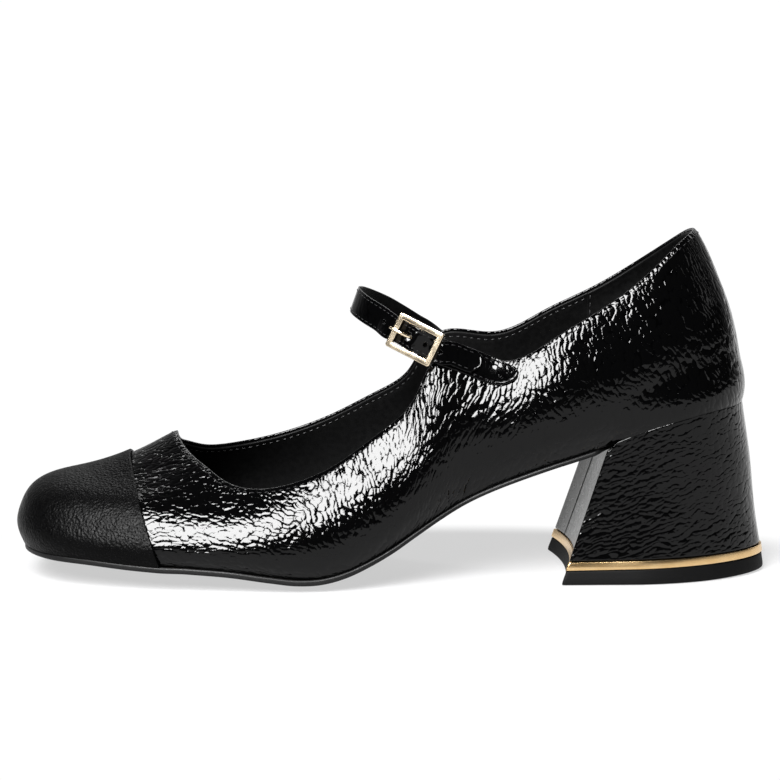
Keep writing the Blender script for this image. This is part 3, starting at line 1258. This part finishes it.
uu = (tr.p - BC) @ BU
cand = np.where(tr.arc < LT * 0.6)[0]
s_prong = tr.arc[cand[np.argmin(np.abs(uu[cand] + 2.0) + np.where(np.linalg.norm(tr.p[cand] - BC, axis=1) < 8, 0, 99))]]
HOLES = [(s_prong + k * 6.0, 0.75) for k in (-2, -1, 1, 2)] + [(s_prong, 1.5)]


def punch(ob):
    cutters = []
    for s, r_ in HOLES:
        p, n, b, t, w = (x[0] for x in tr.at(np.array([s])))
        k = 28
        ring = [(math.cos(2 * math.pi * i / k), math.sin(2 * math.pi * i / k)) for i in range(k)]
        v = [p + b * (c * r_) + t * (d * r_) + n * h for h in (-3, 3) for c, d in ring]
        f = [(i, (i + 1) % k, k + (i + 1) % k, k + i) for i in range(k)] + [tuple(range(k - 1, -1, -1)), tuple(range(k, 2 * k))]
        me = mesh_from("cut", np.array(v), f)
        fix_normals(me, 0)
        c = bpy.data.objects.new("cut", me)
        scene.collection.objects.link(c)
        cutters.append(c)
    for c in cutters:
        m = ob.modifiers.new("cut", "BOOLEAN")
        m.operation, m.object, m.solver = "DIFFERENCE", c, "EXACT"
    dg = bpy.context.evaluated_depsgraph_get()
    new = bpy.data.meshes.new_from_object(ob.evaluated_get(dg))
    ob.modifiers.clear()
    old = ob.data
    ob.data = new
    bpy.data.meshes.remove(old)
    new.polygons.foreach_set("use_smooth", np.ones(len(new.polygons), bool))
    for c in cutters:
        bpy.data.objects.remove(c)
    if hasattr(new, "set_sharp_from_angle"):
        new.set_sharp_from_angle(angle=math.radians(50))
    return ob


punch(face)
punch(under)
H = np.array([12.318, 29.421, 77.271]) * 1e-3
D = unit(np.array([-0.35, -0.75, 0.55]))
b0, b1 = H - D * 0.0012, H + D * 0.0062


def across(ob):
    tuple(b0)
    tuple(b1)
    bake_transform(ob)
    return ob


across(face)
across(under)
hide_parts("strap_face")
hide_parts("strap_lining")
ss_ = np.linspace(3.0, LT - 1.0, 900)
p, n, b, t, w = tr.at(ss_)
w = strap_width(ss_, w)
for nm, sg_ in (("upper", 1), ("lower", -1)):
    row = p + b * (sg_ * (w / 2 - 1.05))[:, None] + n * 0.58
    across(stitch_row("stitches_strap_" + nm, row, n, M["thread"], 1.5, 0.6, 0.13, 0.0, None))

# tab: a loop round the centre bar and a tongue sewn on the quarter
loop = []
R_ = BAR_R + 0.25 + 0.25
for a in np.arange(-100, -431, -10):
    x = math.radians(a)
    loop.append((b_at(math.cos(x) * R_, BAR_N + math.sin(x) * R_), BU * math.cos(x) + BN * math.sin(x), SWB))
body = [(b_at(-0.5, BAR_N - 1.22), BN, SWB), (b_at(0.6, BAR_N - 1.27), BN, SWB), (b_at(2.4, -2.55), BN, SWB), (b_at(5.0, -3.15), BN, SWB), (b_at(7.6, -3.25), BN, 8.0)]
oo = 0.3 + 0.5
q, n = on_wall(18.4, 75.2, False, oo + 0.25)
body.append((q, n, 8.4))
for x, z, w in ((22.4, 73.9, 8.5), (27.0, 72.2, 8.5), (31.2, 70.5, 8.5), (35.2, 69.4, 7.8), (38.2, 69.6, 4.6), (40.6, 70.4, 1.2)):
    q, n = on_wall(x, z, False, oo + 0.2)
    body.append((q, n + np.array([0, 0, -0.15]), w))
tb = Track([(a, unit(b_), c) for a, b_, c in body])
LB = tb.arc[-1]


def tab_width(s, w0):
    e = np.clip((s - (LB - 9.5)) / 9.5, 0, 1)
    return 8.5 * (1 - smooth(0, 1, 0)) * np.sqrt(np.clip(1 - e**2.0, 0, 1)) * 1.0 + 0.1 - (8.5 - SWB) * (1 - smooth(6, 11, s))


sb = np.concatenate([np.linspace(0, LB - 9.5, 120), LB - 9.5 + 9.5 * np.sin(np.linspace(0, math.pi / 2 * 0.985, 60))[1:]])
half_t = lambda s: 0.28 + 0.22 * smooth(2.0, 9.0, s)
tabo = strip_solid("buckle_tab_patent", tb, sb, lambda s: -half_t(s), lambda s: half_t(s), M["patent_fine"], tab_width, 0.28, 26, None, dome=0.10, gutter=0.06)
# loop
angs = np.radians(np.arange(-100, -431, -6.0))
ys = np.concatenate([np.linspace(-SWB / 2, SWB / 2, 12)])
sec = []
for v in np.linspace(-1, 1, 12):
    sec.append((v * (SWB / 2 - 0.1), 0.25))
for v in np.linspace(1, -1, 12):
    sec.append((v * (SWB / 2 - 0.1), -0.25))
LP = np.stack([[b_at(math.cos(x) * (R_ + o), BAR_N + math.sin(x) * (R_ + o), y) for y, o in sec] for x in angs])
lobj = profile_solid("buckle_tab_loop", LP, M["patent_fine"], {"flow": np.stack([np.broadcast_to(-angs[:, None] * 1.2, LP.shape[:2]),
       np.broadcast_to(np.array([y for y, o in sec])[None], LP.shape[:2]), np.zeros(LP.shape[:2])], -1).reshape(-1, 3),
       "grain": np.tile((0.0, 0.0, 1.0), (LP.shape[0] * LP.shape[1], 1))}, body=None)


def slot_cut(ob):
    k = [(-2.1, -2.3, -1.25), (2.1, -2.3, -1.25), (2.1, 2.3, -1.25), (-2.1, 2.3, -1.25), (-2.1, -2.3, 1.25), (2.1, -2.3, 1.25), (2.1, 2.3, 1.25), (-2.1, 2.3, 1.25)]
    v = np.array([b_at(-0.6 + x, BAR_N + n_, y) for x, n_, y in k])
    f = [(0, 1, 2, 3), (7, 6, 5, 4), (0, 4, 5, 1), (1, 5, 6, 2), (2, 6, 7, 3), (3, 7, 4, 0)]
    me = mesh_from("cut", v, f)
    fix_normals(me, 0)
    c = bpy.data.objects.new("cut", me)
    scene.collection.objects.link(c)
    m = ob.modifiers.new("cut", "BOOLEAN")
    m.operation, m.object, m.solver = "DIFFERENCE", c, "EXACT"
    dg = bpy.context.evaluated_depsgraph_get()
    new = bpy.data.meshes.new_from_object(ob.evaluated_get(dg))
    ob.modifiers.clear()
    ob.data = new
    new.polygons.foreach_set("use_smooth", np.ones(len(new.polygons), bool))
    new.set_sharp_from_angle(angle=math.radians(50))
    bpy.data.objects.remove(c)


for o_ in (tabo, lobj):
    slot_cut(o_)
    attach(o_, "root")
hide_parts("buckle_tab")
# stitching all round the tab
s_run = np.linspace(13.5, LB - 1.3, 260)
p, n, b, t, w = tb.at(s_run)
w = tab_width(s_run, w)
inset = np.maximum(w / 2 - 1.1, 0.0)
row_a = p + b * inset[:, None] + n * 0.52
row_b = p - b * inset[:, None] + n * 0.52
ring_p = np.vstack([row_a, row_b[::-1]])
ring_n = np.vstack([n, n[::-1]])
keep = np.concatenate([[True], np.linalg.norm(np.diff(ring_p, axis=0), axis=1) > 1e-4])
stitch_row("stitches_tab", ring_p[keep], ring_n[keep], M["thread"], 1.35, 0.55, 0.13, 0.02)

# buckle frame
BL, BW, BT, RAIL, CORNER = 16.3, 11.9, 2.0, 1.9, 0.8


def rect_ring(d, n_, k=12):
    out = []
    for sx, sy, a0 in ((1, 1, 0), (-1, 1, 90), (-1, -1, 180), (1, -1, 270)):
        for j in range(k + 1):
            a = math.radians(a0 + 90.0 * j / k)
            r_ = max(CORNER - d, 0.18)
            out.append((sx * (BL / 2 - d - r_) + math.cos(a) * r_, sy * (BW / 2 - d - r_) + math.sin(a) * r_, n_))
    return out


prof = []
rb = 0.26
for cx, cn, a0 in ((rb, BT / 2 - rb, 90), (RAIL - rb, BT / 2 - rb, 0), (RAIL - rb, -BT / 2 + rb, -90), (rb, -BT / 2 + rb, -180)):
    for k in range(7):
        a = math.radians(a0 + 90 - 90 * k / 6)
        prof.append((cx + rb * math.cos(a), cn + rb * math.sin(a)))
loops = [rect_ring(d, n_) for d, n_ in prof]
P = np.array(loops)                                    # profile, column, 3 in (u, v, n)
P = BC + P[..., :1] * BU + P[..., 1:2] * BV + P[..., 2:] * BN
P = np.swapaxes(P, 0, 1)
v = P.reshape(-1, 3)
faces = [tuple(f) for f in grid_faces(P.shape[0], P.shape[1], cu=True, cv=True).tolist()]
kb = 24
bar = [b_at(math.cos(2 * math.pi * i / kb) * BAR_R, BAR_N + math.sin(2 * math.pi * i / kb) * BAR_R, y) for y in np.linspace(-1, 1, 12) * (BW / 2 - 0.8) for i in range(kb)]
base = len(v)
faces += [tuple(f) for f in grid_faces(12, kb, cv=True, base=base).tolist()]
faces += [tuple(base + i for i in range(kb)), tuple(base + 11 * kb + i for i in range(kb))]
me = mesh_from("buckle_frame_gold", np.vstack([v, np.array(bar)]), faces)
fix_normals(me, 0)
bf = new_object("buckle_frame_gold", me, M["buckle"], "buckle")
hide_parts("buckle_frame")

# prong: an eye round the bar and a tapering tongue over the front rail
ctrl = np.array([(-0.7, 0.1), (-2.6, 1.15), (-4.6, 1.75), (-6.9, 1.9), (-8.4, 1.55), (-9.2, 0.9)])
t = np.linspace(0, 1, 60)
c2 = catmull(np.column_stack([ctrl, np.zeros(6)]), t)
tan = unit(np.gradient(c2, axis=0))
nrm = np.column_stack([-tan[:, 1], tan[:, 0], np.zeros(60)])
rad = 0.52 - 0.14 * smooth(0.35, 1.0, t)
endr = np.sqrt(np.clip(1 - np.clip((t - 0.93) / 0.07, 0, 1) ** 2, 0.02, 1))
rad = rad * endr
kk = 18
pts = []
for i in range(60):
    for j in range(kk):
        a = 2 * math.pi * j / kk
        u_, n_ = c2[i, 0] + nrm[i, 0] * rad[i] * 0.85 * math.sin(a), c2[i, 1] + nrm[i, 1] * rad[i] * 0.85 * math.sin(a)
        pts.append(b_at(u_, n_, rad[i] * 1.1 * math.cos(a)))
faces = [tuple(f) for f in grid_faces(60, kk, cv=True).tolist()] + [tuple(range(kk)), tuple(59 * kk + j for j in range(kk))]
base = len(pts)
re_, rt = BAR_R + 0.3 + 0.28, 0.28
for i in range(40):
    x = 2 * math.pi * i / 40
    for j in range(16):
        a = 2 * math.pi * j / 16
        y = 0.66 * math.copysign(abs(math.cos(a)) ** 0.6, math.cos(a))
        rr_ = re_ + rt * math.copysign(abs(math.sin(a)) ** 0.8, math.sin(a))
        pts.append(b_at(math.cos(x) * rr_, BAR_N + math.sin(x) * rr_, y))
faces += [tuple(f) for f in grid_faces(40, 16, cu=True, cv=True, base=base).tolist()]
me = mesh_from("buckle_prong_gold", np.array(pts), faces)
fix_normals(me, 0)
pg = new_object("buckle_prong_gold", me, M["buckle"], "prong")
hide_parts("buckle_prong")

# ------------------------------------------------------------------ pieces kept from the frame, inside the shoe
KEEP = {"toe_puff": "puff", "bottom_filler": "cork", "shank": "steel", "insole_board": "board", "footbed_foam": "foam",
        "heel_core": "core", "top_piece_pin_1": "steel", "top_piece_pin_2": "steel", "heel_screw": "steel", "heel_nail_1": "steel",
        "heel_nail_2": "steel", "heel_nail_3": "steel", "heel_nail_4": "steel"}
for node, key in KEEP.items():
    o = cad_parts[node]
    o.data.materials.clear()
    o.data.materials.append(M[key])

# ------------------------------------------------------------------ floor, backdrop and lights
fm = bpy.data.materials.new("studio_floor")
fm.use_nodes = True
nt = fm.node_tree
fb = next(n for n in nt.nodes if n.type == "BSDF_PRINCIPLED")
fb.inputs["Base Color"].default_value = (0.15, 0.15, 0.152, 1)
fb.inputs["Emission Color"].default_value = (1, 1, 1, 1)
fb.inputs["Emission Strength"].default_value = 0.58
fb.inputs["Roughness"].default_value = 0.9
fb.inputs["Specular IOR Level"].default_value = 0.1
em = nt.nodes.new("ShaderNodeEmission")
em.inputs["Color"].default_value = (1, 1, 1, 1)
em.inputs["Strength"].default_value = 1.02
tcn = nt.nodes.new("ShaderNodeTexCoord")
ln = nt.nodes.new("ShaderNodeVectorMath")
ln.operation = "LENGTH"
st = nt.nodes.new("ShaderNodeVectorMath")
st.operation = "MULTIPLY"
st.inputs[1].default_value = (6.6, 15.0, 1.0)
nt.links.new(tcn.outputs["Object"], st.inputs[0])
nt.links.new(st.outputs[0], ln.inputs[0])
mr = nt.nodes.new("ShaderNodeMapRange")
mr.interpolation_type = "SMOOTHSTEP"
mr.inputs["From Min"].default_value = 0.90
mr.inputs["From Max"].default_value = 1.25
nt.links.new(ln.outputs["Value"], mr.inputs["Value"])
mx = nt.nodes.new("ShaderNodeMixShader")
nt.links.new(mr.outputs[0], mx.inputs[0])
nt.links.new(fb.outputs[0], mx.inputs[1])
nt.links.new(em.outputs[0], mx.inputs[2])
out = next(n for n in nt.nodes if n.type == "OUTPUT_MATERIAL")
nt.links.new(mx.outputs[0], out.inputs["Surface"])
S = 20.0
fme = bpy.data.meshes.new("floor")
fme.from_pydata([(-S, -S, 0), (S, -S, 0), (S, S, 0), (-S, S, 0)], [], [(0, 1, 2, 3)])
floor = bpy.data.objects.new("floor", fme)
floor.location = (0, 0, -0.0002)
fme.materials.append(fm)
scene.collection.objects.link(floor)

world = bpy.data.worlds.new("studio")
scene.world = world
world.use_nodes = True
wt = world.node_tree
bg = next(n for n in wt.nodes if n.type == "BACKGROUND")
tcw = wt.nodes.new("ShaderNodeTexCoord")
sp = wt.nodes.new("ShaderNodeSeparateXYZ")
wt.links.new(tcw.outputs["Generated"], sp.inputs[0])
mw = wt.nodes.new("ShaderNodeMapRange")
mw.interpolation_type = "SMOOTHSTEP"
mw.inputs["From Min"].default_value = 0.15
mw.inputs["From Max"].default_value = 0.85
mw.inputs["To Min"].default_value = 0.015
mw.inputs["To Max"].default_value = 0.32
wt.links.new(sp.outputs["Y"], mw.inputs["Value"])
lp = wt.nodes.new("ShaderNodeLightPath")
mm = wt.nodes.new("ShaderNodeMix")
mm.data_type = "FLOAT"
wt.links.new(lp.outputs["Is Camera Ray"], mm.inputs[0])
wt.links.new(mw.outputs[0], mm.inputs[2])
mm.inputs[3].default_value = 1.02
wt.links.new(mm.outputs[0], bg.inputs["Strength"])
bg.inputs["Color"].default_value = (1, 1, 1, 1)


def light(name, az, el, dist, w, h, radiance, roll=0.0, target=(0, 0, 0.045)):
    a, e = math.radians(az), math.radians(el)
    d = Vector((math.sin(a) * math.cos(e), -math.cos(a) * math.cos(e), math.sin(e)))
    L = bpy.data.lights.new(name, "AREA")
    L.shape, L.size, L.size_y = "RECTANGLE", w, h
    L.energy = radiance * math.pi * w * h
    o = bpy.data.objects.new(name, L)
    o.location = Vector(target) + d * dist
    o.rotation_mode = "QUATERNION"
    from mathutils import Quaternion
    o.rotation_quaternion = (-d).to_track_quat("-Z", "Y") @ Quaternion((0, 0, 1), math.radians(roll))
    scene.collection.objects.link(o)
    return o


light("key_softbox", -22, 40, 2.0, 1.00, 1.26, 50.0)
light("top_softbox", 178, 52, 2.0, 0.9, 0.24, 13.0)
light("back_softbox", 165, 30, 2.2, 2.4, 0.6, 1.6)
light("fill_side", 82, 26, 2.4, 0.4, 1.0, 1.2)

scene.view_settings.view_transform = "Standard"
scene.view_settings.look = "None"
scene.view_settings.exposure = 0.0
